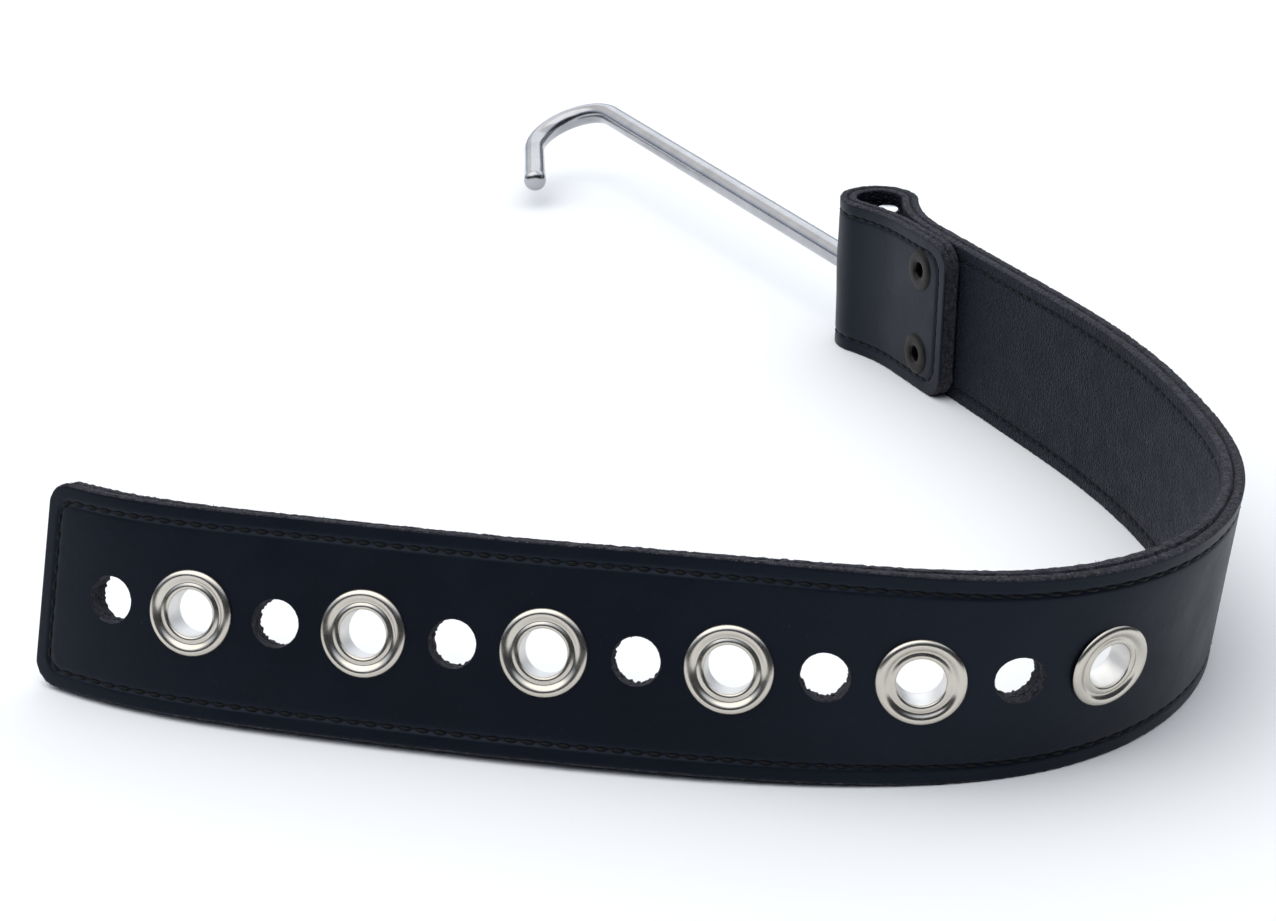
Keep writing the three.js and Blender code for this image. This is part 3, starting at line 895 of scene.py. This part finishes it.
for where, height in RIVET_HEIGHTS.items():
    place = across(RIVET_ON_FLAP, height)
    rivet = turned(f"rivet_{where}", RIVET_PROFILE, place)
    add_piece(f"rivet_{where}_head", rivet, [BLACK_METAL], "strap", "black_metal", f"rivet_{where}")
    cap = turned(f"rivet_cap_{where}", CAP_PROFILE, place)
    add_piece(f"rivet_cap_{where}_ring", cap, [BLACK_METAL], "strap", "black_metal", f"rivet_cap_{where}")

# ---- the hook ----

pin_low, pin_high = (Vector(corner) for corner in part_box("cross_pin"))
pin_middle = (pin_low + pin_high) / 2
pin_foot = Vector((pin_middle.x, pin_middle.y, pin_low.z))
pin_head = Vector((pin_middle.x, pin_middle.y, pin_high.z))
pin_path = [pin_foot.lerp(pin_head, i / 8) for i in range(9)]
pin = tube("cross_pin", *domed(pin_path, lambda share: ROD_RADIUS, PIN_DOME))
add_piece("cross_pin_bar", pin, [PIN_STEEL], "pin", "steel", "cross_pin")


def rod_path():
    """The rod's axis from the pin along the shank, round the bend and on to the tip."""
    loop_out = strap_frame(HEAD_APEX)[3]
    heading = math.atan2(loop_out.y, loop_out.x) + math.radians(SHANK_HEADING)
    rise = math.radians(SHANK_RISE)
    level = Vector((math.cos(heading), math.sin(heading), 0))
    along = level * math.cos(rise) + Vector((0, 0, math.sin(rise)))
    left = Vector((-math.sin(heading), math.cos(heading), 0))
    down = left.cross(along)
    if down.z > 0:
        down.negate()
    roll = math.radians(HOOK_ROLL)
    inwards = down * math.cos(roll) + left * math.sin(roll)
    joint = Vector((pin_middle.x, pin_middle.y, SHANK_HEIGHT * MM))
    start = joint + along * (ROD_RADIUS - ROD_IN_PIN) * MM
    bend_start = joint + along * SHANK_LENGTH * MM
    path = [start.lerp(bend_start, i / 30) for i in range(30)]
    bend = math.radians(HOOK_BEND)
    for i in range(41):
        angle = bend * i / 40
        round_bend = along * math.sin(angle) + inwards * (1 - math.cos(angle))
        path.append(bend_start + round_bend * HOOK_RADIUS * MM)
    tip = along * math.cos(bend) + inwards * math.sin(bend)
    path += [path[-1] + tip * TIP_LENGTH * MM * i / 8 for i in range(1, 9)]
    return path


def rod_radius(share):
    """The rod's radius at a share of its path's points: it swells a little over the last tenth."""
    return ROD_RADIUS + TIP_SWELL * max(0, (share - 0.9) * 10) ** 2


rod = tube("hook_rod", *domed(rod_path(), rod_radius, ROD_DOME))
add_piece("hook_rod_bar", rod, [STEEL], "hook", "steel", "hook_rod")

# ---- stage ----

BRIGHT_SIDE = (-0.15, 0.32, 0.93)
DOME = [  # how far towards the bright side a direction looks, and the colour of the dome there
    (0.0, (0.035, 0.036, 0.042)),
    (0.3, (0.05, 0.052, 0.06)),
    (0.46, (0.62, 0.70, 0.86)),
    (0.62, (1.0, 1.0, 1.0)),
]
DOME_STRENGTH = 1.08
FLOOR_REACH = 4.0
CAMERA_PLACE = (0.00515, -0.52874, 0.2125)
CAMERA_TURN = 0.868  # degrees, as are the next two
CAMERA_DROP = 23.56
CAMERA_ROLL = 0.2
LENS_LENGTH = 67.25


def add_floor():
    """A plain pale floor."""
    mesh = bpy.data.meshes.new("floor")
    corners = [(x * FLOOR_REACH, y * FLOOR_REACH, 0) for x, y in ((-1, -1), (1, -1), (1, 1), (-1, 1))]
    mesh.from_pydata(corners, [], [(0, 1, 2, 3)])
    floor = bpy.data.objects.new("floor", mesh)
    bpy.context.collection.objects.link(floor)
    n = Nodes("pale_floor")
    n.set(Base_Color=(0.95, 0.965, 0.98), Roughness=0.9, Specular_IOR_Level=0.1)
    mesh.materials.append(n.material)


def add_light(name, place, target, size, power, colour=(1, 1, 1)):
    """A rectangular soft lamp at a place, turned towards a target."""
    lamp = bpy.data.lights.new(name, "AREA")
    lamp.shape = "RECTANGLE"
    lamp.size, lamp.size_y = size
    lamp.energy = power
    lamp.color = colour
    holder = bpy.data.objects.new(name, lamp)
    bpy.context.collection.objects.link(holder)
    holder.location = place
    holder.rotation_euler = (Vector(target) - Vector(place)).to_track_quat("-Z", "Y").to_euler()


def add_world():
    """A soft dome, bright overhead and behind the strap, and dark low down in front of it."""
    world = bpy.data.worlds.new("studio")
    bpy.context.scene.world = world
    world.use_nodes = True
    tree = world.node_tree
    background = tree.nodes["Background"]
    place = tree.nodes.new("ShaderNodeTexCoord")
    towards = tree.nodes.new("ShaderNodeVectorMath")
    towards.operation = "DOT_PRODUCT"
    towards.inputs[1].default_value = BRIGHT_SIDE
    ramp = tree.nodes.new("ShaderNodeValToRGB")
    tree.links.new(place.outputs["Generated"], towards.inputs[0])
    tree.links.new(towards.outputs["Value"], ramp.inputs["Fac"])
    tree.links.new(ramp.outputs["Color"], background.inputs["Color"])
    elements = ramp.color_ramp.elements
    while len(elements) < len(DOME):
        elements.new(0.5)
    for element, (position, colour) in zip(elements, DOME):
        element.position = position
        element.color = (*colour, 1)
    background.inputs["Strength"].default_value = DOME_STRENGTH


def add_camera():
    """A fixed camera in front of the strap, looking down on it."""
    lens = bpy.data.cameras.new("camera")
    lens.sensor_fit = "HORIZONTAL"
    lens.sensor_width = 36.0
    lens.lens = LENS_LENGTH
    lens.clip_start = 0.01
    lens.clip_end = 20.0
    camera = bpy.data.objects.new("camera", lens)
    bpy.context.collection.objects.link(camera)
    turn = Matrix.Rotation(math.radians(CAMERA_TURN), 4, "Z")
    pitch = Matrix.Rotation(math.radians(90 - CAMERA_DROP), 4, "X")
    roll = Matrix.Rotation(math.radians(CAMERA_ROLL), 4, "Z")
    camera.matrix_world = Matrix.Translation(CAMERA_PLACE) @ turn @ pitch @ roll
    bpy.context.scene.camera = camera


add_floor()
add_world()
add_light("key", (-0.35, -0.15, 0.9), (0, 0, 0), (1.3, 1.3), 4.5)
add_light("back", (0.3, 0.85, 0.7), (0, 0, 0.02), (1.6, 0.8), 2.4, (0.80, 0.89, 1.0))
add_camera()
bpy.context.scene.view_settings.view_transform = "Standard"
